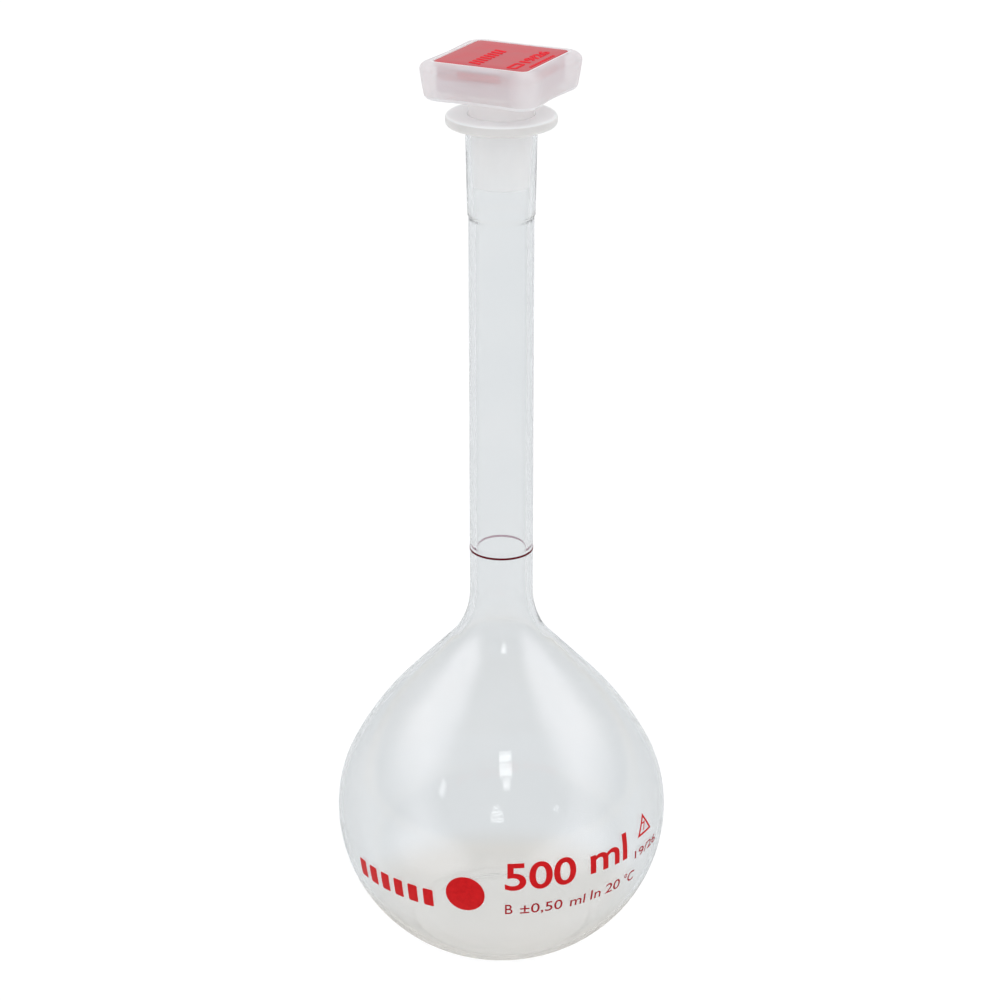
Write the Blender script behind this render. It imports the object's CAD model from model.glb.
"""A 500 ml volumetric flask: a thin turned shell with printed marks, a milky square
stopper with a red insert, and a pale studio.

The flask stands on z = 0 with its axis on Z; the prints and the camera are on the
-Y side. Lengths are millimetres unless noted; meshes are written in metres.
"""
import math

import bmesh
import bpy
import numpy as np
from mathutils import Matrix, Vector


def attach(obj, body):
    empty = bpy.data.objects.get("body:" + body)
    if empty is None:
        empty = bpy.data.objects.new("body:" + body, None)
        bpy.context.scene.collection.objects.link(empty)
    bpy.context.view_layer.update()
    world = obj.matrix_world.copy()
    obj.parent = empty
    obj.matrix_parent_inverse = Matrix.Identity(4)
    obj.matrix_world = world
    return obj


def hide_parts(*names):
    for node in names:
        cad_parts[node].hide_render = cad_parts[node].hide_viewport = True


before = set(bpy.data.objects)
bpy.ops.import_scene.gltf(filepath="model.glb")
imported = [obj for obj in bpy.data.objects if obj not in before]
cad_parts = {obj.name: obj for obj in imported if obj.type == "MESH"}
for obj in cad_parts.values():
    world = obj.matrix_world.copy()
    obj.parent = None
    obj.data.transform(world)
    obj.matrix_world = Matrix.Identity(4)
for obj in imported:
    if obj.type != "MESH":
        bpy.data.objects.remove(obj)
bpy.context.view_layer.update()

MM = 0.001
scene = bpy.context.scene

# ------------------------------------------------------------------ flask sizes
FLASK_HEIGHT = 262.4
BULB_RADIUS, BULB_Z = 51.14, 40.81           # the widest place
# bulb outline: one arc below the widest place, two above it, then a straight
# shoulder and a hollow fillet into the neck
LOW_ARC, UPPER_ARC, SHOULDER_ARC = 47.82, 41.19, 100.99
UPPER_END, SHOULDER_END = math.radians(27.18), math.radians(43.48)
NECK_RADIUS, NECK_FILLET = 9.53, 24.90
BULB_WALL, SHOULDER_WALL, NECK_WALL = 1.40, 1.85, 2.06
BASE_CORNER, BASE_WALL = 3.0, 1.6
PUNT_RADIUS, PUNT_HEIGHT = 23.0, 2.4         # hollow under the base
FLOOR_EASE = 5.0                             # spread of the bends of the inner floor
SOCKET_TOP_RADIUS, SOCKET_LOW_RADIUS = 10.35, 9.85
SOCKET_LOW_Z, SOCKET_STEP = 233.0, 0.6
MOUTH_RADIUS, MOUTH_CHAMFER = 9.30, 0.35
TAPER, TAPER_LOW_Z, BORE_TOP_Z = 0.05, 232.8, 231.1
FLANGE_RADIUS, FLANGE_THICK, FLANGE_ROUND = 16.0, 3.2, 1.1
FLANGE_Z = FLASK_HEIGHT - FLANGE_THICK
RING_Z, RING_WIDTH = 128.26, 0.66
RING_GAP, RING_OUT, RING_EDGE = 0.012, 0.075, 0.02

SEGMENTS = 192                               # round the axis
FILLET_STEPS, LINE_STEPS, ARC_STEPS, LOW_STEPS = 26, 8, 14, 44
CORNER_STEPS, DOME_STEPS, EASE_STEPS, SOFT_STEPS = 8, 16, 60, 5
LONGEST_PIECE = 9.0                          # of the straight walls of the profile

# ------------------------------------------------------------------ print sizes
PRINT_GAP, PRINT_THICK, PRINT_CELL = 0.012, 0.045, 0.9
MARK_THICK, MARK_SUNK, MARK_CELL = 0.22, 0.12, 3.0

# ------------------------------------------------------------------ stopper sizes
STOPPER_TURN = math.radians(-26.5)
PLUG_TOP_RADIUS, PLUG_END_RADIUS, PLUG_END_Z = 9.40, 8.08, 241.6
PLUG_SEAT = 0.15              # the cone drawn home, almost on the socket's wall
PLUG_ROOT_ROUND, PLUG_END_ROUND, PLUG_BORE_ROUND = 0.5, 0.45, 0.25
BORE_END_RADIUS, BORE_TOP_RADIUS, BORE_TOP_ROUND = 6.75, 7.85, 0.8
HEAD_LOW_Z, HEAD_TOP_Z, HEAD_WIDE_Z = 268.0, 279.0, 276.6
# half widths, corner radii and the hollow of the sides
HEAD_LOW_HALF, HEAD_TOP_HALF = 17.85, 19.15
HEAD_MIDDLE_HALF = (HEAD_LOW_HALF + HEAD_TOP_HALF) / 2
HEAD_LOW_CORNER, HEAD_TOP_CORNER = 5.5, 7.2
LOW_BOW, MIDDLE_BOW, TOP_BOW = 0.95, 0.75, 1.1
LOW_ROUND, RIM_WIDTH = 2.0, 4.25
RIM_IN_HALF = HEAD_TOP_HALF - RIM_WIDTH
RIM_IN_CORNER = HEAD_TOP_CORNER - RIM_WIDTH * 1.2
TRAY_HALF, TRAY_CORNER, TRAY_FILLET = 14.00, 1.8, 0.6
TRAY_FLOOR_Z, TRAY_FLOOR_THICK, LEDGE_Z = 270.1, 1.4, 277.6
BORE_ROOF_Z = TRAY_FLOOR_Z - TRAY_FLOOR_THICK
PLATE_HALF, PLATE_CORNER, PLATE_EDGE = 14.40, 1.5, 0.25
PLATE_TOP_Z, PLATE_THICK, PLATE_GAP = 278.9, 1.0, 0.30
SKIRT_HALF, SKIRT_THICK, SKIRT_LOW_Z, SKIRT_EDGE = 13.65, 0.9, 273.6, 0.1
TAB_WIDTH, TAB_OUT, TAB_LOW_Z, TAB_TOP_Z = 13.0, 0.75, 274.7, 276.8
POCKET_GAP = 0.30
POCKET_ROOT, TAB_ROOT = 0.6, 0.4             # how far the boxes reach into the body
HEAD_STEPS, PLATE_STEPS = 44, 24             # points on one quarter of a loop


# ================================================================ mesh helpers
def new_object(name, me, mats, sharp_angle):
    ob = bpy.data.objects.new(name, me)
    scene.collection.objects.link(ob)
    for mat in mats:
        me.materials.append(mat)
    shade(me, sharp_angle)
    return ob


def shade(me, sharp_angle):
    me.shade_smooth()
    me.set_sharp_from_angle(angle=math.radians(sharp_angle))


def turn_outward(bm):
    """Faces turned so that the closed mesh has a positive volume."""
    bmesh.ops.recalc_face_normals(bm, faces=bm.faces)
    if bm.calc_volume(signed=True) < 0:
        bmesh.ops.reverse_faces(bm, faces=bm.faces)


def mesh_from(name, bm):
    me = bpy.data.meshes.new(name)
    bm.to_mesh(me)
    bm.free()
    return me


def polar(centre, radius, angle):
    return (centre[0] + radius * math.cos(angle), centre[1] + radius * math.sin(angle))


def arc(centre, radius, start, end, steps):
    return [polar(centre, radius, start + (end - start) * i / steps) for i in range(steps + 1)]


def softened(rows):
    """A polyline with rounded inner corners; rows are (radius, z, rounding)."""
    points = [np.array(row[:2], float) for row in rows]
    out = [rows[0][:2]]
    for i in range(1, len(rows) - 1):
        corner, rounding = points[i], rows[i][2]
        back, ahead = points[i - 1] - corner, points[i + 1] - corner
        back_length, ahead_length = np.linalg.norm(back), np.linalg.norm(ahead)
        back, ahead = back / back_length, ahead / ahead_length
        half = 0.5 * math.acos(max(-1.0, min(1.0, float(back @ ahead))))
        if rounding <= 0 or half > math.radians(89):
            out.append(tuple(corner))
            continue
        cut = min(rounding / math.tan(half), 0.45 * back_length, 0.45 * ahead_length)
        start, end = corner + back * cut, corner + ahead * cut
        for k in range(SOFT_STEPS + 1):
            t = k / SOFT_STEPS
            out.append(tuple((1 - t) ** 2 * start + 2 * t * (1 - t) * corner + t * t * end))
    out.append(rows[-1][:2])
    return out


def cut_long(points):
    """Extra points on long pieces of a polyline."""
    out = [points[0]]
    for a, b in zip(points[:-1], points[1:]):
        n = max(1, math.ceil(math.hypot(b[0] - a[0], b[1] - a[1]) / LONGEST_PIECE))
        for k in range(1, n + 1):
            out.append((a[0] + (b[0] - a[0]) * k / n, a[1] + (b[1] - a[1]) * k / n))
    return out


def tidy(points):
    """The polyline without repeated points."""
    out = []
    for p in points:
        if not out or math.hypot(p[0] - out[-1][0], p[1] - out[-1][1]) > 1e-4:
            out.append(tuple(p))
    return out


def revolved(name, points, closed=False, shift=None):
    """Surface of revolution; points at radius 0 become one vertex.
    shift(radius, z, angle, index) may move a point of the profile at that angle."""
    verts, rings = [], []
    for k, (radius, z) in enumerate(points):
        if radius < 1e-6:
            rings.append([len(verts)] * SEGMENTS)
            verts.append((0.0, 0.0, z * MM))
            continue
        ring = []
        for i in range(SEGMENTS):
            a = 2 * math.pi * i / SEGMENTS
            moved, height = (radius, z) if shift is None else shift(radius, z, a, k)
            ring.append(len(verts))
            verts.append((moved * MM * math.cos(a), moved * MM * math.sin(a), height * MM))
        rings.append(ring)
    pairs = list(zip(rings[:-1], rings[1:]))
    if closed:
        pairs.append((rings[-1], rings[0]))
    faces = []
    for a, b in pairs:
        for i in range(SEGMENTS):
            j = (i + 1) % SEGMENTS
            face = [a[i], a[j], b[j], b[i]]
            face = [v for n, v in enumerate(face) if v != face[n - 1]]
            if len(face) > 2:
                faces.append(face)
    me = bpy.data.meshes.new(name)
    me.from_pydata(verts, [], faces)
    me.validate()
    bm = bmesh.new()
    bm.from_mesh(me)
    turn_outward(bm)
    bm.to_mesh(me)
    bm.free()
    return me


# ================================================================ node helpers
class Graph:
    """Builds the nodes of one material or of the world."""

    def __init__(self, owner, output_kind):
        owner.use_nodes = True
        self.tree = owner.node_tree
        self.tree.nodes.clear()
        self.output = self.add(output_kind)

    def add(self, kind, inputs=None, **settings):
        """A new node; an input is a number, a colour tuple or a socket to link from."""
        made = self.tree.nodes.new("ShaderNode" + kind)
        for name, value in settings.items():
            setattr(made, name, value)
        for key, value in (inputs or {}).items():
            if isinstance(value, bpy.types.NodeSocket):
                self.tree.links.new(value, made.inputs[key])
            else:
                made.inputs[key].default_value = (*value, 1) if isinstance(value, tuple) else value
        return made

    def finish(self, shader):
        self.tree.links.new(shader, self.output.inputs["Surface"])

    def coordinates(self):
        return self.add("TexCoord").outputs["Object"]

    def noise(self, scale, detail, roughness=0.5):
        return self.add("TexNoise", {"Vector": self.coordinates(), "Scale": scale,
                                     "Detail": detail, "Roughness": roughness}).outputs["Fac"]

    def ramp(self, source, stops):
        """stops: (position, colour) in rising order."""
        made = self.add("ValToRGB", {"Fac": source})
        elements = made.color_ramp.elements
        for element, (position, colour) in zip(elements, (stops[0], stops[-1])):
            element.position = position
            element.color = (*colour, 1)
        for position, colour in stops[1:-1]:
            elements.new(position).color = (*colour, 1)
        return made.outputs["Color"]

    def remap(self, source, old, new, kind='LINEAR'):
        return self.add("MapRange", {"From Min": old[0], "From Max": old[1], "To Min": new[0],
                                     "To Max": new[1], "Value": source},
                        interpolation_type=kind).outputs["Result"]

    def rise(self, source, start, end, top=1):
        """Smoothly from 0 at start to top at end."""
        return self.remap(source, (start, end), (0, top), 'SMOOTHSTEP')

    def fall(self, source, start, end):
        """Smoothly from 1 at start to 0 at end."""
        return self.remap(source, (start, end), (1, 0), 'SMOOTHSTEP')

    def math(self, operation, *values):
        return self.add("Math", dict(enumerate(values)), operation=operation).outputs[0]

    def bump(self, source, strength, distance):
        return self.add("Bump", {"Strength": strength, "Distance": distance,
                                 "Height": source}).outputs["Normal"]

    def mix_colour(self, factor, first, second, blend='MIX'):
        return self.add("MixRGB", {"Fac": factor, "Color1": first, "Color2": second},
                        blend_type=blend).outputs[0]

    def mix_shader(self, factor, first, second):
        return self.add("MixShader", {0: factor, 1: first, 2: second}).outputs[0]

    def facing(self, blend):
        """0 where the surface faces the ray, 1 where it is met at a low angle."""
        return self.add("LayerWeight", {"Blend": blend}).outputs["Facing"]

    def roughness(self, source, limits):
        return self.remap(source, old=(0.3, 0.7), new=limits)

    def principled(self, inputs):
        return self.add("BsdfPrincipled", inputs).outputs[0]


# ================================================================ materials
def new_material(name):
    mat = bpy.data.materials.new(name)
    return mat, Graph(mat, "OutputMaterial")


def clear_plastic(name, tints, transmission, roughness, front=1.0, edge=0.84, specular=0.5):
    """Clear moulded plastic: faint waves in the skin and a slight haze.
    front and edge are the grey of a wall met squarely and at a low angle."""
    mat, g = new_material(name)
    waves = g.noise(scale=35.0, detail=2.0)
    tint = g.ramp(waves, [(0.35, tints[0]), (0.65, tints[1])])
    # a wall met at a low angle is crossed the long way and looks greyer
    grey = g.ramp(g.facing(blend=0.5), [(0.12, (front,) * 3), (0.44, (1, 1, 1)),
                                        (0.62, ((1 + edge) / 2 + 0.025,) * 3),
                                        (0.90, (edge, edge + 0.01, edge + 0.01))])
    g.finish(g.principled({
        "Base Color": g.mix_colour(1.0, tint, grey, blend='MULTIPLY'),
        "Roughness": g.roughness(g.noise(scale=240.0, detail=3.0), roughness),
        "Normal": g.bump(waves, strength=0.06, distance=0.0006),
        "IOR": 1.46,
        "Specular IOR Level": specular,
        "Transmission Weight": transmission}))
    return mat


def stopper_place(g):
    """(distance from the nearer centre plane, z), in metres, in the stopper's turn."""
    turned = g.add("VectorRotate", {"Angle": -STOPPER_TURN, "Vector": g.coordinates()},
                   rotation_type='Z_AXIS').outputs[0]
    x, y, z = g.add("SeparateXYZ", {0: turned}).outputs
    return g.math('MINIMUM', g.math('ABSOLUTE', x), g.math('ABSOLUTE', y)), z


def solid_lugs(g):
    """The solid lugs above the four tabs."""
    lateral, z = stopper_place(g)
    half = TAB_WIDTH / 2
    return g.math('MULTIPLY',
                  g.fall(lateral, (half - POCKET_GAP) * MM, (half + POCKET_GAP) * MM),
                  g.rise(z, TAB_TOP_Z * MM, (TAB_TOP_Z + 0.5) * MM, top=0.93))


def solid_corners(g):
    """The wall is thickest at the corners."""
    lateral, _ = stopper_place(g)
    return g.rise(lateral, start=0.0105, end=0.0160, top=0.65)


def milky_plastic(name, see, tints, straight=(0.94, 0.93, 0.935), glow=0.35, low=0.25, solid=None):
    """Milky polypropylene: one part of the light is scattered back, one part
    glows through (glow), and the rest passes straight (see, tinted by straight);
    where the wall is met at a low angle only the share low of that is left.
    solid(graph) gives the places that let less light straight through."""
    mat, g = new_material(name)
    tint = g.ramp(g.noise(scale=90.0, detail=3.0), [(0.35, tints[0]), (0.65, tints[1])])
    scattered = g.principled({
        "Base Color": tint,
        "Roughness": g.roughness(g.noise(scale=420.0, detail=2.0), (0.33, 0.41)),
        "IOR": 1.49,
        "Specular IOR Level": 0.45})
    glowing = g.add("BsdfTranslucent", {"Color": tint}).outputs[0]
    body = g.mix_shader(glow, scattered, glowing)
    open_share = g.remap(g.facing(blend=0.35), old=(0.0, 1.0), new=(see, see * low))
    if solid:
        open_share = g.math('MULTIPLY', open_share, g.math('SUBTRACT', 1.0, solid(g)))
    passed = g.add("BsdfTransparent", {"Color": straight}).outputs[0]
    g.finish(g.mix_shader(open_share, body, passed))
    return mat


def red_plastic(name, tints, roughness, specular):
    """Opaque plastic with cloudy colour and a fine grain."""
    mat, g = new_material(name)
    cloud = g.noise(scale=160.0, detail=4.0)
    g.finish(g.principled({
        "Base Color": g.ramp(cloud, [(0.3, tints[0]), (0.7, tints[1])]),
        "Roughness": g.roughness(cloud, roughness),
        "Normal": g.bump(g.noise(scale=2600.0, detail=2.0), strength=0.10, distance=0.0001),
        "Specular IOR Level": specular}))
    return mat


def ink(name, tints, rough=0.42):
    """Screen-printed ink: slightly uneven cover."""
    mat, g = new_material(name)
    cover = g.noise(scale=700.0, detail=4.0, roughness=0.6)
    g.finish(g.principled({
        "Base Color": g.ramp(cover, [(0.3, tints[0]), (0.7, tints[1])]),
        "Roughness": g.roughness(cover, (rough - 0.06, rough + 0.08)),
        "Specular IOR Level": 0.12}))
    return mat


MAT_CLEAR = clear_plastic("clear_plastic", tints=((0.965, 0.972, 0.975), (0.985, 0.988, 0.988)),
                          transmission=0.955, roughness=(0.02, 0.06))
MAT_RIM = clear_plastic("clear_plastic_thick", tints=((0.905, 0.89, 0.875), (0.925, 0.913, 0.90)),
                        transmission=0.30, roughness=(0.33, 0.40), front=0.87, edge=1.0,
                        specular=0.3)
MAT_RIM_TOP = clear_plastic("clear_plastic_top",
                            tints=((0.97, 0.99, 0.995), (0.985, 0.995, 0.995)),
                            transmission=0.08, roughness=(0.33, 0.40), edge=0.995, specular=0.25)
MAT_STEP = clear_plastic("clear_plastic_step", tints=((0.98, 0.98, 0.98), (0.99, 0.99, 0.985)),
                         transmission=0.95, roughness=(0.20, 0.24))
MAT_MILKY = milky_plastic("milky_plastic", see=0.50, solid=solid_corners,
                          tints=((0.93, 0.91, 0.917), (0.945, 0.93, 0.935)))
MAT_UNDER = milky_plastic("milky_plastic_under", see=0.15,
                          tints=((0.96, 0.98, 0.99), (0.98, 0.99, 1.0)))
MAT_TRAY = milky_plastic("milky_plastic_tray", see=0.42, solid=solid_lugs,
                         tints=((0.90, 0.92, 0.99), (0.93, 0.94, 1.0)))
MAT_POCKET = milky_plastic("milky_plastic_pocket", see=0.95,
                           tints=((0.93, 0.93, 1.0), (0.95, 0.95, 1.0)),
                           straight=(0.97, 0.96, 1.0))
MAT_LIP = milky_plastic("milky_plastic_lip", see=0.08,
                        tints=((0.985, 0.985, 0.985), (1.0, 1.0, 1.0)))
MAT_PLUG = milky_plastic("milky_plastic_plug", see=0.66, low=0.55,
                         tints=((0.985, 0.98, 0.978), (0.995, 0.992, 0.99)),
                         straight=(0.98, 0.98, 0.982))
MAT_ROOT = milky_plastic("milky_plastic_root", see=0.22, low=0.9, glow=0.25,
                         tints=((0.99, 0.985, 0.985), (1.0, 0.998, 0.998)), straight=(1, 1, 1))
MAT_INK = ink("red_ink", tints=((0.53, 0.003, 0.006), (0.66, 0.007, 0.010)))
MAT_INK_FINE = ink("red_ink_fine", tints=((0.30, 0.003, 0.010), (0.42, 0.006, 0.014)))
MAT_PLATE = red_plastic("red_plastic", tints=((0.57, 0.042, 0.056), (0.66, 0.066, 0.084)),
                        roughness=(0.30, 0.40), specular=0.31)
MAT_RING = ink("red_ink_line", tints=((0.10, 0.0, 0.006), (0.14, 0.001, 0.010)), rough=0.5)
MAT_RING_BACK = ink("red_ink_line_back", tints=((0.34, 0.17, 0.24), (0.42, 0.22, 0.30)), rough=0.5)
MAT_MARK = red_plastic("red_plastic_mark", tints=((0.80, 0.004, 0.016), (0.92, 0.010, 0.028)),
                       roughness=(0.45, 0.55), specular=0.08)


# ================================================================ flask outline
# arc centres and the ends of the straight shoulder, as (radius, z)
LOW_CENTRE = (BULB_RADIUS - LOW_ARC, BULB_Z)
UPPER_CENTRE = (BULB_RADIUS - UPPER_ARC, BULB_Z)
SHOULDER_CENTRE = polar(UPPER_CENTRE, UPPER_ARC - SHOULDER_ARC, UPPER_END)
LINE_LOW = polar(SHOULDER_CENTRE, SHOULDER_ARC, SHOULDER_END)
LINE_LENGTH = ((LINE_LOW[0] - (NECK_RADIUS + NECK_FILLET * (1 - math.cos(SHOULDER_END))))
               / math.sin(SHOULDER_END))
LINE_TOP = (LINE_LOW[0] - LINE_LENGTH * math.sin(SHOULDER_END),
            LINE_LOW[1] + LINE_LENGTH * math.cos(SHOULDER_END))
FILLET_CENTRE = polar(LINE_TOP, NECK_FILLET, SHOULDER_END)


def base_corner(inside):
    """Centre of the corner's arc and the angle where it meets the bulb."""
    z = inside * BASE_WALL + BASE_CORNER
    bulb_arc = LOW_ARC - inside * BULB_WALL
    radius = LOW_CENTRE[0] + math.sqrt((bulb_arc - BASE_CORNER) ** 2 - (BULB_Z - z) ** 2)
    return (radius, z), math.atan2(z - BULB_Z, radius - LOW_CENTRE[0])


def wall_at(k):
    """Wall thickness: k is 0 at the bulb, 1 at the shoulder, 2 at the neck."""
    if k <= 1.0:
        return BULB_WALL + (SHOULDER_WALL - BULB_WALL) * k
    return SHOULDER_WALL + (NECK_WALL - SHOULDER_WALL) * (k - 1.0)


def shoulder_and_bulb(inside):
    """Neck start down to the base corner; inside = 1 gives the inner surface."""
    points = []
    for i in range(FILLET_STEPS + 1):
        wall = inside * wall_at(2.0 - i / FILLET_STEPS)
        points.append(polar(FILLET_CENTRE, -(NECK_FILLET + wall), SHOULDER_END * i / FILLET_STEPS))
    wall = inside * wall_at(1.0)
    for i in range(1, LINE_STEPS):
        k = i / LINE_STEPS
        on_line = [top + (low - top) * k for top, low in zip(LINE_TOP, LINE_LOW)]
        points.append(polar(on_line, -wall, SHOULDER_END))
    for i in range(ARC_STEPS + 1):
        wall = inside * wall_at(1.0 - 0.35 * i / ARC_STEPS)
        angle = SHOULDER_END + (UPPER_END - SHOULDER_END) * i / ARC_STEPS
        points.append(polar(SHOULDER_CENTRE, SHOULDER_ARC - wall, angle))
    for i in range(1, ARC_STEPS + 1):
        left = 1 - i / ARC_STEPS
        wall = inside * wall_at(0.65 * left)
        points.append(polar(UPPER_CENTRE, UPPER_ARC - wall, UPPER_END * left))
    _, end = base_corner(inside)
    return points + arc(LOW_CENTRE, LOW_ARC - inside * BULB_WALL, 0.0, end, LOW_STEPS)[1:]


def eased(points, end_radius):
    """The inner floor with its bends spread over FLOOR_EASE on each side."""
    flat = [q for q in points if q[0] <= end_radius]
    rest = [q for q in points if q[0] > end_radius]

    def height(radius):
        radius = abs(radius)
        for (r0, z0), (r1, z1) in zip(flat, flat[1:]):
            if r0 <= radius <= r1:
                return z0 + (z1 - z0) * (radius - r0) / max(r1 - r0, 1e-9)
        return flat[-1][1]

    out = []
    for i in range(EASE_STEPS + 1):
        radius = end_radius * i / EASE_STEPS
        width = min(FLOOR_EASE, end_radius - radius)
        out.append((radius, sum(height(radius + width * (k - 8) / 8) for k in range(17)) / 17))
    return out + rest


def dome(radius, centre_z, start, end):
    """Arc about the axis; angles are measured from the axis."""
    angles = [start + (end - start) * i / DOME_STEPS for i in range(DOME_STEPS + 1)]
    return [(radius * math.sin(a), centre_z + radius * math.cos(a)) for a in angles]


PUNT_SPHERE = (PUNT_RADIUS ** 2 + PUNT_HEIGHT ** 2) / (2 * PUNT_HEIGHT)
PUNT_CENTRE_Z = PUNT_HEIGHT - PUNT_SPHERE


def inner_profile():
    """From the middle of the inner floor up to the top of the flange."""
    floor_sphere = PUNT_SPHERE + BASE_WALL
    half = math.acos((BASE_WALL - PUNT_CENTRE_Z) / floor_sphere)
    points = dome(floor_sphere, PUNT_CENTRE_Z, 0.0, half)
    corner, angle = base_corner(1.0)
    points += arc(corner, BASE_CORNER, -math.pi / 2, angle, CORNER_STEPS)
    points = eased(points, corner[0])
    points += shoulder_and_bulb(1.0)[::-1]
    return points + cut_long(softened([
        (*points[-1], 0),
        (NECK_RADIUS - NECK_WALL, BORE_TOP_Z, 0.8),
        (MOUTH_RADIUS - TAPER * (FLASK_HEIGHT - TAPER_LOW_Z), TAPER_LOW_Z, 0.8),
        (MOUTH_RADIUS - TAPER * MOUTH_CHAMFER, FLASK_HEIGHT - MOUTH_CHAMFER, 0.25),
        (MOUTH_RADIUS + MOUTH_CHAMFER, FLASK_HEIGHT, 0.25),
        (FLANGE_RADIUS - FLANGE_ROUND, FLASK_HEIGHT, 0)]))


def outer_profile():
    """From the edge of the flange down to the middle of the punt."""
    points = []
    for z, start in ((FLASK_HEIGHT - FLANGE_ROUND, math.pi / 2), (FLANGE_Z + FLANGE_ROUND, 0.0)):
        points += arc((FLANGE_RADIUS - FLANGE_ROUND, z), FLANGE_ROUND,
                      start, start - math.pi / 2, CORNER_STEPS)
    bulb = shoulder_and_bulb(0.0)
    points += cut_long(softened([
        (*points[-1], 0),
        (SOCKET_TOP_RADIUS, FLANGE_Z, 0.5),
        (SOCKET_LOW_RADIUS, SOCKET_LOW_Z, 0.35),
        (NECK_RADIUS, SOCKET_LOW_Z - SOCKET_STEP, 0.5),
        (*bulb[0], 0)]))
    points += bulb
    corner, angle = base_corner(0.0)
    points += arc(corner, BASE_CORNER, angle, -math.pi / 2, CORNER_STEPS)
    punt = dome(PUNT_SPHERE, PUNT_CENTRE_Z, math.asin(PUNT_RADIUS / PUNT_SPHERE), 0.0)
    punt[0] = (PUNT_RADIUS, 0.0)
    return points + softened([(*points[-1], 0), (*punt[0], 0.8), (*punt[1], 0)])[1:-1] + punt[1:]


# waves of the inner wall: depth, lobes round the axis, twist per mm of z, phase
SHOULDER_WAVES = [(0.085, 2, 0, 0.9), (0.055, 3, -0.30, 0), (0.030, 5, 0.55, 0)]
BULB_WAVES = [(0.020, 2, 0.045, 0), (0.012, 3, -0.07, 1.3)]
SHOULDER_WAVE_Z, SHOULDER_WAVE_SPREAD = 97.0, 11.0
UNEVEN_TOP_Z, UNEVEN_RADIUS, UNEVEN_FADE = 124, 9.5, 2.0


def uneven(inner_count):
    """The blown wall is a little uneven on its inside, most of all where the
    bulb was drawn out of the neck."""
    def wave(rows, z, angle):
        return sum(depth * math.sin(lobes * angle + twist * z + phase)
                   for depth, lobes, twist, phase in rows)

    def shift(radius, z, angle, index):
        if index >= inner_count or z > UNEVEN_TOP_Z or radius < UNEVEN_RADIUS:
            return radius, z
        near = math.exp(-((z - SHOULDER_WAVE_Z) / SHOULDER_WAVE_SPREAD) ** 2)
        depth = wave(SHOULDER_WAVES, z, angle) * near + wave(BULB_WAVES, z, angle)
        return radius - depth * min(1.0, (radius - UNEVEN_RADIUS) / UNEVEN_FADE), z
    return shift


def build_flask():
    raw = inner_profile()
    inner = tidy(raw)
    outer = tidy([raw[-1]] + outer_profile())[1:]
    me = revolved("flask_shell", inner + outer, shift=uneven(len(inner)))
    ob = new_object("flask_shell", me, [MAT_CLEAR, MAT_RIM, MAT_RIM_TOP, MAT_STEP], 50)
    for face in me.polygons:
        x, y, z = face.center / MM
        radius = math.hypot(x, y)
        off_socket = radius > SOCKET_TOP_RADIUS + 0.2 or radius < MOUTH_RADIUS + MOUTH_CHAMFER
        if z > FLANGE_Z - 0.2 and off_socket:
            face.material_index = 2 if face.normal.z > 0.6 else 1
        elif BORE_TOP_Z - 0.2 < z < SOCKET_LOW_Z + 0.2:
            face.material_index = 3
    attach(ob, "flask")
    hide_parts("flask_body")


def build_ring():
    """The line printed round the neck."""
    inner, outer = NECK_RADIUS + RING_GAP, NECK_RADIUS + RING_OUT
    low, top = RING_Z - RING_WIDTH / 2, RING_Z + RING_WIDTH / 2
    me = revolved("ring_line", [(inner, low), (outer - RING_EDGE, low), (outer, low + RING_EDGE),
                                (outer, top - RING_EDGE), (outer - RING_EDGE, top), (inner, top)],
                  closed=True)
    ob = new_object("ring_line", me, [MAT_RING, MAT_RING_BACK], 40)
    for face in me.polygons:                         # the side against the neck
        c = face.center
        if face.normal.x * c.x + face.normal.y * c.y < -0.5 * math.hypot(c.x, c.y):
            face.material_index = 1
    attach(ob, "flask")
    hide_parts("ring_mark")


# ================================================================ flat sheets
def spread(bm, axis):
    values = [v.co[axis] for v in bm.verts]
    return max(values) - min(values)


def text_sheet(text, size, bold):
    """Flat filled lettering as a bmesh, starting at x = 0 on y = 0."""
    curve = bpy.data.curves.new("sheet", 'FONT')
    curve.body = text
    curve.size = size
    curve.offset = bold
    curve.resolution_u = 8
    ob = bpy.data.objects.new("sheet", curve)
    scene.collection.objects.link(ob)
    depsgraph = bpy.context.evaluated_depsgraph_get()
    me = bpy.data.meshes.new_from_object(ob.evaluated_get(depsgraph))
    bm = bmesh.new()
    bm.from_mesh(me)
    bpy.data.objects.remove(ob)
    bpy.data.meshes.remove(me)
    bpy.data.curves.remove(curve)
    bmesh.ops.remove_doubles(bm, verts=bm.verts, dist=size * 1e-4)
    left = min(v.co.x for v in bm.verts)
    for v in bm.verts:
        v.co.z = 0.0
        v.co.x -= left
    return bm


def fitted(text, height, width, bold, like="0"):
    """Lettering scaled so that the sign `like` has the height and the line the width."""
    probe_size = 10.0
    probe = text_sheet(like, probe_size, bold)
    size = probe_size * height / spread(probe, 1)
    probe.free()
    bm = text_sheet(text, size, bold * size / probe_size)
    stretch = width / spread(bm, 0)
    for v in bm.verts:
        v.co.x *= stretch
    return bm


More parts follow.
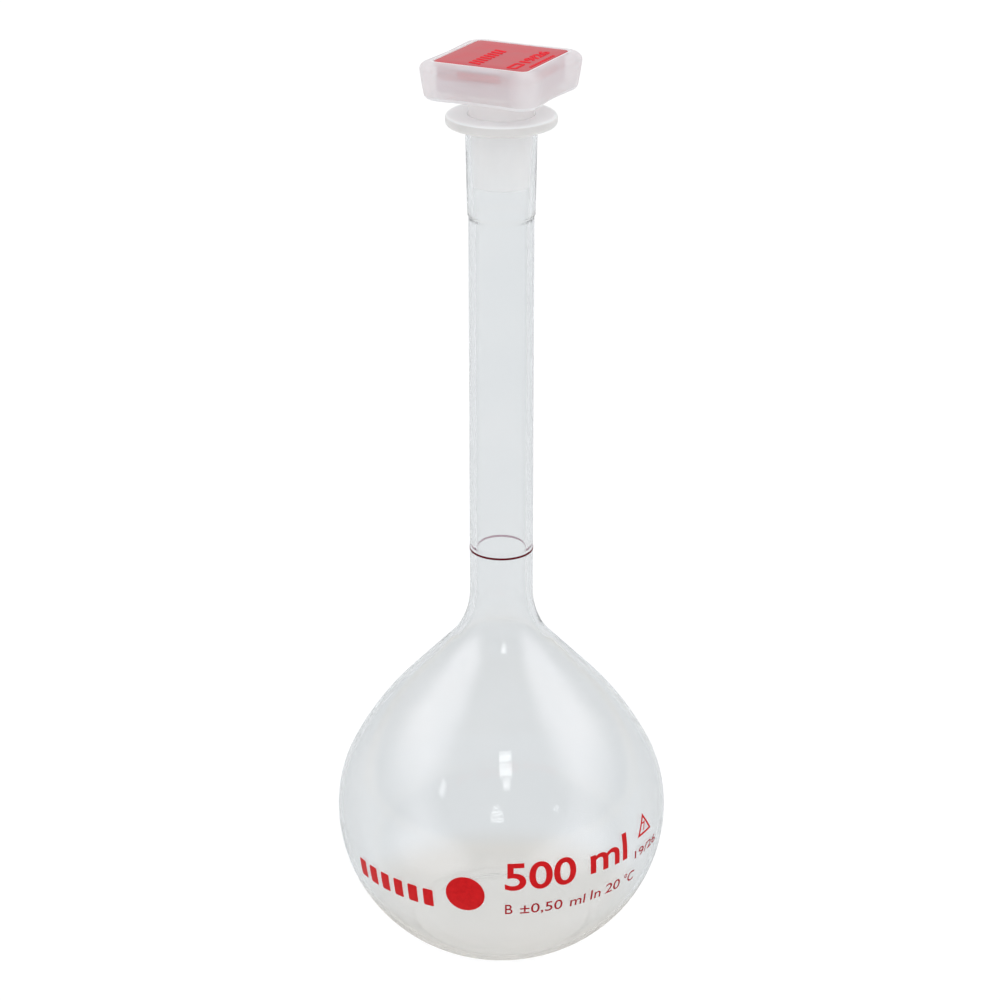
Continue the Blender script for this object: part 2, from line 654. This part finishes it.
def joint_size_sheet(height, width, bold):
    """"19/26" in heavy figures: the 9 is the clean 6 turned half round."""
    bm = fitted("16/26", height, width, bold)
    seen, islands = set(), []
    for v in bm.verts:
        if v in seen:
            continue
        seen.add(v)
        stack, island = [v], []
        while stack:
            vert = stack.pop()
            island.append(vert)
            for edge in vert.link_edges:
                other = edge.other_vert(vert)
                if other not in seen:
                    seen.add(other)
                    stack.append(other)
        islands.append(island)
    islands.sort(key=lambda island: min(v.co.x for v in island))
    six = islands[1]
    middle = [0.5 * (min(v.co[i] for v in six) + max(v.co[i] for v in six)) for i in (0, 1)]
    for v in six:
        v.co.x, v.co.y = 2 * middle[0] - v.co.x, 2 * middle[1] - v.co.y
    return bm


def filled(outline):
    bm = bmesh.new()
    bm.faces.new([bm.verts.new((x, y, 0)) for x, y in outline])
    return bm


def band(outer, inner):
    """The strip between two outlines with the same number of points."""
    bm = bmesh.new()
    a = [bm.verts.new((x, y, 0)) for x, y in outer]
    b = [bm.verts.new((x, y, 0)) for x, y in inner]
    for i in range(len(a)):
        j = (i + 1) % len(a)
        bm.faces.new((a[i], a[j], b[j], b[i]))
    return bm


def rounded_outline(x0, y0, x1, y1, corner):
    points = []
    for x, y, start in ((x1 - corner, y1 - corner, 0), (x0 + corner, y1 - corner, 90),
                        (x0 + corner, y0 + corner, 180), (x1 - corner, y0 + corner, 270)):
        points += arc((x, y), corner, math.radians(start), math.radians(start + 90), 6)
    return points


def frame_sheet(width, height, corner, line):
    """Rounded frame with its lower left corner at the origin."""
    return band(rounded_outline(0, 0, width, height, corner),
                rounded_outline(line, line, width - line, height - line, max(corner - line, 0.05)))


def leaning_rib(width, height, lean):
    bm = filled(rounded_outline(0, 0, width, height, 0.25))
    for v in bm.verts:
        v.co.x += lean * v.co.y / height
    return bm


def triangle_sheet(x0, y0, width, height, line):
    """A triangle drawn as an outline."""
    corners = [Vector((x0, y0)), Vector((x0 + width, y0)), Vector((x0 + width / 2, y0 + height))]
    opposite = [(corners[i] - corners[i - 1]).length for i in (2, 0, 1)]
    centre = sum((c * side for c, side in zip(corners, opposite)), Vector((0, 0))) / sum(opposite)
    inscribed = width * height / sum(opposite)
    shrink = 1 - line / inscribed
    return band(corners, [centre + (c - centre) * shrink for c in corners])


def disc_sheet(centre, radius):
    return filled(arc(centre, radius, 0.0, 2 * math.pi, 48)[:-1])


def grid_cut(bm, cell):
    """Cuts a flat sheet along a square grid, so that it can follow a curve."""
    for axis, normal in enumerate((Vector((1, 0, 0)), Vector((0, 1, 0)))):
        low = min(v.co[axis] for v in bm.verts)
        high = max(v.co[axis] for v in bm.verts)
        k = math.ceil(low / cell)
        while k * cell < high:
            bmesh.ops.bisect_plane(bm, geom=bm.verts[:] + bm.edges[:] + bm.faces[:], dist=1e-5,
                                   plane_co=normal * (k * cell), plane_no=normal)
            k += 1
    bmesh.ops.remove_doubles(bm, verts=bm.verts, dist=2e-4)
    bmesh.ops.dissolve_degenerate(bm, dist=2e-4, edges=bm.edges)


def solid_sheets(sheets, cell, thickness):
    """One bmesh of all (sheet, x, y), moved to x and y, cut and made solid."""
    total = bmesh.new()
    for bm, x, y in sheets:
        for v in bm.verts:
            v.co.x += x
            v.co.y += y
        grid_cut(bm, cell)
        made = bmesh.ops.extrude_face_region(bm, geom=bm.faces[:], use_keep_orig=True)
        for item in made["geom"]:
            if isinstance(item, bmesh.types.BMVert):
                item.co.z += thickness
        part = mesh_from("part", bm)
        total.from_mesh(part)
        bpy.data.meshes.remove(part)
    return total


# ================================================================ prints
def outer_at(length):
    """Outer surface of the bulb at a length along the meridian from the widest
    place: (radius, z) and the angle of the outward direction."""
    upper = UPPER_ARC * UPPER_END
    line = upper + SHOULDER_ARC * (SHOULDER_END - UPPER_END)
    if length <= 0:
        angle = length / LOW_ARC
        return polar(LOW_CENTRE, LOW_ARC, angle), angle
    if length <= upper:
        angle = length / UPPER_ARC
        return polar(UPPER_CENTRE, UPPER_ARC, angle), angle
    angle = UPPER_END + (min(length, line) - upper) / SHOULDER_ARC
    radius, z = polar(SHOULDER_CENTRE, SHOULDER_ARC, angle)
    past = max(0.0, length - line)
    return (radius - past * math.sin(angle), z + past * math.cos(angle)), angle


def print_on_bulb(name, sheets, mat):
    """Sheets laid on the bulb: x runs along the widest circle, from the camera's
    side towards +X, and y along the meridian, up from the widest place."""
    total = solid_sheets(sheets, PRINT_CELL, PRINT_THICK)
    for v in total.verts:
        around = v.co.x / BULB_RADIUS
        place, angle = outer_at(v.co.y)
        radius, z = polar(place, PRINT_GAP + v.co.z, angle)
        v.co = Vector((radius * math.sin(around), -radius * math.cos(around), z)) * MM
    turn_outward(total)
    ob = new_object(name, mesh_from(name, total), [mat], 35)
    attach(ob, "flask")


def words(rows, height, bold):
    """rows: text, sign that has the height, width, x, y."""
    return [(fitted(text, height, width, bold, like), x, y) for text, like, width, x, y in rows]


def build_prints():
    print_on_bulb("print_volume", words([("500", "0", 22.2, 1.0, -1.8),
                                         ("ml", "0", 14.9, 28.2, -0.7)],
                                        height=9.1, bold=0.17), MAT_INK)
    print_on_bulb("print_tolerance", words([("B", "B", 2.3, 1.1, -10.9),
                                            ("±0,50", "0", 13.4, 5.7, -10.9),
                                            ("ml", "0", 5.2, 21.7, -10.9),
                                            ("In", "0", 3.8, 28.9, -10.6),
                                            ("20", "0", 6.0, 34.7, -10.5),
                                            ("°C", "0", 5.0, 42.6, -10.5)],
                                           height=3.7, bold=0.05), MAT_INK_FINE)
    print_on_bulb("print_joint_size", words([("19/26", "0", 13.5, 47.0, -2.9)],
                                            height=2.7, bold=0.05), MAT_INK_FINE)
    # the plastic's number in a triangle
    triangle = triangle_sheet(x0=48.6, y0=3.5, width=8.2, height=6.6, line=0.72)
    number = words([("7", "7", 1.7, 51.8, 4.75)], height=2.7, bold=0.16)
    print_on_bulb("print_plastic_number", [(triangle, 0, 0)] + number, MAT_INK)
    # a row of plain blocks and a disc
    pitch, width = 5.45, 3.4
    lefts = [-52.0 + pitch * i for i in range(6)]
    blocks = [filled(rounded_outline(left, -10.9, left + width, -4.6, 0.5)) for left in lefts]
    print_on_bulb("print_blocks", [(block, 0, 0) for block in blocks], MAT_INK)
    print_on_bulb("print_disc", [(disc_sheet((-11.0, -4.1), 6.0), 0, 0)], MAT_INK)


# ================================================================ stopper
def square_loop(half, corner, z, bow=0.0, steps=HEAD_STEPS):
    """Rounded square; the middle of each side is drawn in by bow."""
    corner_steps = steps // 2
    side_steps = steps - corner_steps
    flat = half - corner
    side = []
    for i in range(side_steps):
        y = -flat + 2 * flat * (i / side_steps)
        side.append((half - bow * math.cos(0.5 * math.pi * y / half) ** 2, y))
    shift = bow * math.cos(0.5 * math.pi * flat / half) ** 2
    for a in quarter_angles(corner_steps)[:-1]:
        side.append((flat + corner * math.cos(a) - shift * math.cos(a) ** 2,
                     flat + corner * math.sin(a) - shift * math.sin(a) ** 2))
    points = []
    for q in range(4):
        cos, sin = math.cos(q * math.pi / 2), math.sin(q * math.pi / 2)
        points += [(cos * x - sin * y, sin * x + cos * y, z) for x, y in side]
    return points


def round_loop(radius, z):
    """Circle with the points of a square loop, starting at the same corner."""
    count = 4 * HEAD_STEPS
    angles = [-math.pi / 4 + 2 * math.pi * i / count for i in range(count)]
    return [(radius * math.cos(a), radius * math.sin(a), z) for a in angles]


def quarter_angles(steps):
    return [0.5 * math.pi * i / steps for i in range(steps + 1)]


def lofted(name, loops, start_z, end_z):
    """Loops joined in order, closed at both ends by a point on the axis."""
    bm = bmesh.new()
    rings = [[bm.verts.new((x * MM, y * MM, z * MM)) for x, y, z in loop] for loop in loops]
    n = len(rings[0])
    for a, b in zip(rings[:-1], rings[1:]):
        for i in range(n):
            j = (i + 1) % n
            bm.faces.new((a[i], a[j], b[j], b[i]))
    for z, ring in ((start_z, rings[0]), (end_z, rings[-1])):
        pole = bm.verts.new(Vector((0, 0, z)) * MM)
        for i in range(n):
            bm.faces.new((pole, ring[(i + 1) % n], ring[i]))
    turn_outward(bm)
    return mesh_from(name, bm)


def tray_loops():
    """Tray in the head: floor, wall, ledge for the plate and lip."""
    loops = [square_loop(TRAY_HALF - 3.0, 1.0, TRAY_FLOOR_Z)]
    for a in quarter_angles(4):
        inset = TRAY_FILLET * (1 - math.sin(a))
        loops.append(square_loop(TRAY_HALF - inset, TRAY_CORNER - inset,
                                 TRAY_FLOOR_Z + TRAY_FILLET * (1 - math.cos(a))))
    loops += [square_loop(TRAY_HALF, TRAY_CORNER, z) for z in (272.5, 274.5, 276.5, LEDGE_Z)]
    half, corner = PLATE_HALF + PLATE_GAP, PLATE_CORNER + PLATE_GAP
    loops += [square_loop(half, corner, z) for z in (LEDGE_Z, HEAD_TOP_Z - 0.35)]
    for a in quarter_angles(4)[1:4]:
        z = HEAD_TOP_Z - 0.2 + 0.2 * math.sin(a) - 0.15 * (1 - math.sin(a))
        loops.append(square_loop(half + 0.15 * (1 - math.cos(a)), corner, z))
    return loops


def through(start, middle, end, t):
    """Parabola through three values at t = 0, 0.5 and 1."""
    return (1 - t) * (1 - 2 * t) * start + 4 * t * (1 - t) * middle + t * (2 * t - 1) * end


def head_loops():
    """Outside of the head, from the rim down to the lower edge."""
    loops = []
    for a in quarter_angles(12):                     # rim, rolled over outwards
        k = math.sin(a)
        loops.append(square_loop(HEAD_TOP_HALF - RIM_WIDTH * (1 - k),
                                 HEAD_TOP_CORNER - RIM_WIDTH * 1.2 * (1 - k),
                                 HEAD_WIDE_Z + (HEAD_TOP_Z - HEAD_WIDE_Z) * math.cos(a),
                                 TOP_BOW * k))
    side_low_z = HEAD_LOW_Z + LOW_ROUND
    for i in range(1, 8):                            # side wall, drawn in downwards
        t = i / 8
        loops.append(square_loop(through(HEAD_TOP_HALF, HEAD_MIDDLE_HALF, HEAD_LOW_HALF, t),
                                 HEAD_TOP_CORNER + (HEAD_LOW_CORNER - HEAD_TOP_CORNER) * t,
                                 HEAD_WIDE_Z + (side_low_z - HEAD_WIDE_Z) * t,
                                 through(TOP_BOW, MIDDLE_BOW, LOW_BOW, t)))
    for a in quarter_angles(8):                      # lower edge, rolled in
        loops.append(square_loop(HEAD_LOW_HALF - LOW_ROUND * (1 - math.cos(a)),
                                 HEAD_LOW_CORNER - LOW_ROUND * 0.8 * (1 - math.cos(a)),
                                 HEAD_LOW_Z + LOW_ROUND * (1 - math.sin(a)), LOW_BOW))
    return loops


def plug_loops():
    """Hollow plug: down its outside, round its end and up the bore."""
    loops = [round_loop(PLUG_TOP_RADIUS + 1.2, HEAD_LOW_Z)]
    for a in quarter_angles(5):
        loops.append(round_loop(
            PLUG_TOP_RADIUS + PLUG_SEAT + PLUG_ROOT_ROUND * (1 - math.sin(a)),
            HEAD_LOW_Z - PLUG_ROOT_ROUND * (1 - math.cos(a))))
    slope = (PLUG_TOP_RADIUS - PLUG_END_RADIUS) / (HEAD_LOW_Z - PLUG_END_Z)
    end_radius = PLUG_END_RADIUS + PLUG_SEAT
    for z in (262.0, 256.0, 250.0, 245.0):
        loops.append(round_loop(end_radius + slope * (z - PLUG_END_Z), z))
    for a in quarter_angles(6):
        loops.append(round_loop(
            end_radius + slope * PLUG_END_ROUND - PLUG_END_ROUND * (1 - math.cos(a)),
            PLUG_END_Z + PLUG_END_ROUND * (1 - math.sin(a))))
    for a in quarter_angles(4):
        loops.append(round_loop(BORE_END_RADIUS + PLUG_BORE_ROUND * (1 - math.sin(a)),
                                PLUG_END_Z + PLUG_BORE_ROUND * (1 - math.cos(a))))
    bore_low_z = PLUG_END_Z + PLUG_BORE_ROUND
    for k in (0.25, 0.5, 0.75):
        loops.append(round_loop(BORE_END_RADIUS + (BORE_TOP_RADIUS - BORE_END_RADIUS) * k,
                                bore_low_z + (BORE_ROOF_Z - BORE_TOP_ROUND - bore_low_z) * k))
    for a in quarter_angles(5):
        loops.append(round_loop(BORE_TOP_RADIUS - BORE_TOP_ROUND * (1 - math.cos(a)),
                                BORE_ROOF_Z - BORE_TOP_ROUND * (1 - math.sin(a))))
    return loops + [round_loop(3.5, BORE_ROOF_Z)]


def with_side_boxes(ob, operation, gap, root):
    """Adds or cuts the four tab boxes, grown by gap, one on each side of the skirt."""
    depth = TAB_OUT + gap + root
    centre = Vector((SKIRT_HALF + TAB_OUT + gap - depth / 2, 0, (TAB_LOW_Z + TAB_TOP_Z) / 2)) * MM
    size = (depth * MM, (TAB_WIDTH + 2 * gap) * MM, (TAB_TOP_Z - TAB_LOW_Z + 2 * gap) * MM, 1.0)
    bm = bmesh.new()
    for k in range(4):
        place = Matrix.Rotation(k * math.pi / 2, 4, 'Z') @ Matrix.Translation(centre)
        bmesh.ops.create_cube(bm, size=1.0, matrix=place @ Matrix.Diagonal(size))
    tool_mesh = mesh_from("boxes", bm)
    tool = bpy.data.objects.new("tool", tool_mesh)
    scene.collection.objects.link(tool)
    modifier = ob.modifiers.new("boxes", "BOOLEAN")
    modifier.operation = operation
    modifier.solver = 'EXACT'
    modifier.object = tool
    depsgraph = bpy.context.evaluated_depsgraph_get()
    me = bpy.data.meshes.new_from_object(ob.evaluated_get(depsgraph))
    old = ob.data
    ob.modifiers.clear()
    ob.data = me
    bpy.data.meshes.remove(old)
    bpy.data.objects.remove(tool)
    bpy.data.meshes.remove(tool_mesh)
    return me


TURN = Matrix.Rotation(STOPPER_TURN, 4, 'Z')
CAP_MATERIALS = [MAT_MILKY, MAT_TRAY, MAT_POCKET, MAT_PLUG, MAT_LIP, MAT_UNDER, MAT_ROOT]


def cap_material(centre, normal_z):
    """Material of a face of the cap, from its centre before the turn."""
    x, y, z = abs(centre.x), abs(centre.y), centre.z
    across, radius = max(x, y), math.hypot(x, y)
    # distance outside the rounded square where the rim starts to roll over
    flat = RIM_IN_HALF - RIM_IN_CORNER
    past = (math.hypot(max(x - flat, 0), max(y - flat, 0)) + min(across - flat, 0)
            - RIM_IN_CORNER)
    if z > HEAD_TOP_Z - 0.5 and past < 0.5:
        return MAT_LIP
    if TRAY_FLOOR_Z + 0.3 < z < HEAD_TOP_Z - 0.5 and across < PLATE_HALF + PLATE_GAP + 0.05:
        in_pocket = across > TRAY_HALF + 0.05 and z < LEDGE_Z - 0.05
        return MAT_POCKET if in_pocket else MAT_TRAY
    on_plug = z < HEAD_LOW_Z + 0.02 and radius < PLUG_TOP_RADIUS + PLUG_SEAT + 0.3
    in_bore = radius < BORE_TOP_RADIUS + 0.1 and z < TRAY_FLOOR_Z - 0.05
    if on_plug or in_bore:
        at_root = z > FLASK_HEIGHT - 0.4 and radius > BORE_TOP_RADIUS + 0.3
        return MAT_ROOT if at_root else MAT_PLUG
    if z < HEAD_LOW_Z + 2.5 and normal_z < -0.4:
        return MAT_UNDER
    return MAT_MILKY


def build_stopper():
    me = lofted("stopper_cap", tray_loops() + head_loops() + plug_loops(),
                TRAY_FLOOR_Z, BORE_ROOF_Z)
    ob = new_object("stopper_cap", me, CAP_MATERIALS, 40)
    me = with_side_boxes(ob, 'DIFFERENCE', POCKET_GAP, POCKET_ROOT)
    for face in me.polygons:
        mat = cap_material(face.center / MM, face.normal.z)
        face.material_index = CAP_MATERIALS.index(mat)
    me.transform(TURN)
    shade(me, 40)
    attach(ob, "stopper")
    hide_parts("stopper_body")


def build_plate():
    """The red insert: a plate with a skirt and four side tabs."""
    low_z = PLATE_TOP_Z - PLATE_THICK
    rows = [(PLATE_HALF - 4.0, 0.8, PLATE_TOP_Z)]    # half width, corner, z
    for a in quarter_angles(4):
        inset = PLATE_EDGE * (1 - math.sin(a))
        rows.append((PLATE_HALF - inset, PLATE_CORNER - inset,
                     PLATE_TOP_Z - PLATE_EDGE * (1 - math.cos(a))))
    skirt_in = SKIRT_HALF - SKIRT_THICK
    rows += [(PLATE_HALF, PLATE_CORNER, low_z),
             (SKIRT_HALF, 1.5, low_z),
             (SKIRT_HALF, 1.5, SKIRT_LOW_Z + SKIRT_EDGE),
             (SKIRT_HALF - SKIRT_EDGE, 1.4, SKIRT_LOW_Z),
             (skirt_in + SKIRT_EDGE, 0.8, SKIRT_LOW_Z),
             (skirt_in, 0.7, SKIRT_LOW_Z + SKIRT_EDGE),
             (skirt_in, 0.7, low_z)]
    loops = [square_loop(half, corner, z, steps=PLATE_STEPS) for half, corner, z in rows]
    ob = new_object("stopper_plate", lofted("stopper_plate", loops, PLATE_TOP_Z, low_z),
                    [MAT_PLATE], 40)
    me = with_side_boxes(ob, 'UNION', 0.0, TAB_ROOT)
    me.transform(TURN)
    shade(me, 40)
    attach(ob, "stopper")
    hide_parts("stopper_insert")


def build_marks():
    """Raised marks on the plate: the joint size, a frame and two rows of plain ribs."""
    sheets = [(joint_size_sheet(height=3.3, width=14.3, bold=0.45), -4.5, -10.7),
              (frame_sheet(width=6.2, height=3.2, corner=0.6, line=0.85), -12.4, -10.7)]
    sheets += [(leaning_rib(width=1.25, height=3.9, lean=0.9), -12.3 + 2.28 * i, 0.7)
               for i in range(8)]
    sheets += [(leaning_rib(width=0.75, height=1.0, lean=0.2), -8.8 + 1.32 * i, -13.75)
               for i in range(12)]
    total = solid_sheets(sheets, MARK_CELL, MARK_THICK)
    for v in total.verts:
        v.co = Vector((v.co.x * MM, v.co.y * MM, (v.co.z + PLATE_TOP_Z - MARK_SUNK) * MM))
    bmesh.ops.recalc_face_normals(total, faces=total.faces)
    me = mesh_from("stopper_marks", total)
    me.transform(TURN @ Matrix.Rotation(math.radians(90), 4, 'Z'))
    ob = new_object("stopper_marks", me, [MAT_MARK], 35)
    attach(ob, "stopper")


# ================================================================ studio (metres)
FLOOR_SEEN = (0.93, 0.93, 0.93)          # what the camera meets directly
FLOOR_GLOW = (1.16, 1.16, 1.16)
FLOOR_GLOW_SHARE = 0.60
FLOOR_THROUGH = (0.788, 0.811, 0.828)    # what is seen through the flask
FLOOR_SHADE = (0.71, 0.69, 0.655)        # the same, in the flask's shade
FLOOR_SHADE_EDGE = (0.038, 0.060)        # distances over which the shade fades out
FLOOR_FILL = (0.92, 0.92, 0.92)          # what lights the matt parts from below
FLOOR_SIZE, FLOOR_Z = 6.0, -0.0002

# azimuth from the camera's side towards +X and elevation in degrees, distance,
# width, height, radiance
LAMPS = {
    "window_high_a": (4.4, 47.3, 1.6, 0.26, 0.098, 4.2),
    "window_high_b": (4.4, 42.5, 1.6, 0.26, 0.116, 4.2),
    "window_high_c": (4.8, 37.6, 1.6, 0.14, 0.095, 3.4),
    "window_left": (-50.0, 29.0, 1.7, 0.12, 0.14, 2.6),
}
LAMP_TARGET = (0, 0, 0.07)

CAMERA_PITCH = math.radians(22.8)        # looking down
CAMERA_TARGET, CAMERA_DISTANCE = (0, 0, 0.14354), 0.8107


def build_floor():
    bm = bmesh.new()
    bmesh.ops.create_grid(bm, x_segments=24, y_segments=24, size=FLOOR_SIZE)
    for v in bm.verts:
        v.co.z = FLOOR_Z
    me = mesh_from("floor", bm)
    mat, g = new_material("floor_pale")
    path = g.add("LightPath").outputs
    seen = g.mix_shader(FLOOR_GLOW_SHARE,
                        g.add("BsdfDiffuse", {"Color": FLOOR_SEEN}).outputs[0],
                        g.add("Emission", {"Color": FLOOR_GLOW, "Strength": 1.0}).outputs[0])
    # under and just behind the bulb the floor is in its soft warm shade
    distance = g.add("VectorMath", {0: g.coordinates()}, operation='LENGTH').outputs["Value"]
    through = g.mix_colour(g.rise(distance, *FLOOR_SHADE_EDGE), FLOOR_SHADE, FLOOR_THROUGH)
    after_matt = g.math('MINIMUM', path["Diffuse Depth"], 1.0)
    unseen = g.add("Emission", {"Color": g.mix_colour(after_matt, through, FLOOR_FILL),
                                "Strength": 1.0}).outputs[0]
    g.finish(g.mix_shader(path["Is Camera Ray"], unseen, seen))
    if hasattr(mat, "cycles"):           # only there while Cycles is enabled
        mat.cycles.emission_sampling = 'NONE'
    me.materials.append(mat)
    ob = bpy.data.objects.new("floor", me)
    scene.collection.objects.link(ob)


def build_world():
    """Soft studio: two broad side lights with a cooler gap on the camera side,
    a pale back, and a light from above."""
    world = bpy.data.worlds.new("studio")
    scene.world = world
    g = Graph(world, "OutputWorld")
    x, y, z = g.add("SeparateXYZ", {0: g.add("TexCoord").outputs["Generated"]}).outputs
    to_degrees = 180 / math.pi
    # azimuth is 0 at the camera's side and 180 behind the flask
    azimuth = g.math('ARCTAN2', g.math('ABSOLUTE', x), g.math('MULTIPLY', y, -1.0))
    azimuth = g.math('MULTIPLY', azimuth, to_degrees)
    elevation = g.math('MULTIPLY', g.math('ARCSINE', z), to_degrees)
    side = g.math('MULTIPLY', g.rise(azimuth, 46, 80), g.fall(azimuth, 100, 135))
    side = g.math('MULTIPLY', side, g.rise(elevation, 6, 34))
    side = g.math('MULTIPLY', side, g.fall(elevation, 58, 80))
    back = g.rise(azimuth, 105, 150)
    top = g.rise(elevation, 74, 86)
    low = g.fall(elevation, 4, 9)

    mirrored = g.mix_colour(back, (0.34, 0.385, 0.41), (0.84, 0.85, 0.86))
    mirrored = g.mix_colour(low, mirrored, (0.80, 0.78, 0.74))
    mirrored = g.mix_colour(side, mirrored, (2.25, 2.2, 2.28))
    mirrored = g.mix_colour(top, mirrored, (1.5, 1.5, 1.5))
    # matt surfaces get a fill light, which the clear walls don't mirror
    fill = g.mix_colour(back, (0.90, 0.91, 0.92), (0.95, 0.95, 0.95))
    fill = g.mix_colour(side, fill, (0.93, 0.93, 0.94))
    fill = g.mix_colour(top, fill, (1.5, 1.5, 1.5))
    path = g.add("LightPath").outputs
    colour = g.mix_colour(g.math('MINIMUM', path["Diffuse Depth"], 1.0), mirrored, fill)
    colour = g.mix_colour(path["Is Camera Ray"], colour, (1.0, 1.0, 1.0))
    g.finish(g.add("Background", {"Color": colour, "Strength": 1.0}).outputs[0])
    if hasattr(world, "cycles"):         # only there while Cycles is enabled
        world.cycles.sampling_method = 'NONE'


def build_lamp(name, azimuth, elevation, distance, width, height, radiance):
    light = bpy.data.lights.new(name, 'AREA')
    light.shape = 'RECTANGLE'
    light.size = width
    light.size_y = height
    light.energy = radiance * math.pi * width * height
    ob = bpy.data.objects.new(name, light)
    a, e = math.radians(azimuth), math.radians(elevation)
    away = Vector((math.sin(a) * math.cos(e), -math.cos(a) * math.cos(e), math.sin(e)))
    ob.location = Vector(LAMP_TARGET) + away * distance
    ob.rotation_euler = (-away).to_track_quat('-Z', 'Y').to_euler()
    scene.collection.objects.link(ob)
    ob.visible_camera = False


def build_camera():
    camera = bpy.data.cameras.new("camera")
    camera.sensor_width = 36.0
    camera.lens = 97.2
    camera.shift_x = -0.0014
    camera.clip_start = 0.01
    camera.clip_end = 50.0
    ob = bpy.data.objects.new("camera", camera)
    look = Vector((0.0, math.cos(CAMERA_PITCH), -math.sin(CAMERA_PITCH)))
    ob.location = Vector(CAMERA_TARGET) - look * CAMERA_DISTANCE
    ob.rotation_euler = look.to_track_quat('-Z', 'Y').to_euler()
    scene.collection.objects.link(ob)
    scene.camera = ob


def set_render():
    scene.view_settings.view_transform = 'Standard'
    scene.view_settings.look = 'None'
    if hasattr(scene, "cycles"):         # only there while Cycles is enabled
        scene.cycles.max_bounces = 32
        scene.cycles.transmission_bounces = 32
        scene.cycles.glossy_bounces = 12
        scene.cycles.diffuse_bounces = 12
        scene.cycles.transparent_max_bounces = 16
        scene.cycles.blur_glossy = 0.0


build_flask()
build_ring()
build_prints()
build_stopper()
build_plate()
build_marks()
build_floor()
build_world()
for lamp_name, lamp_values in LAMPS.items():
    build_lamp(lamp_name, *lamp_values)
build_camera()
set_render()

bpy.context.view_layer.update()
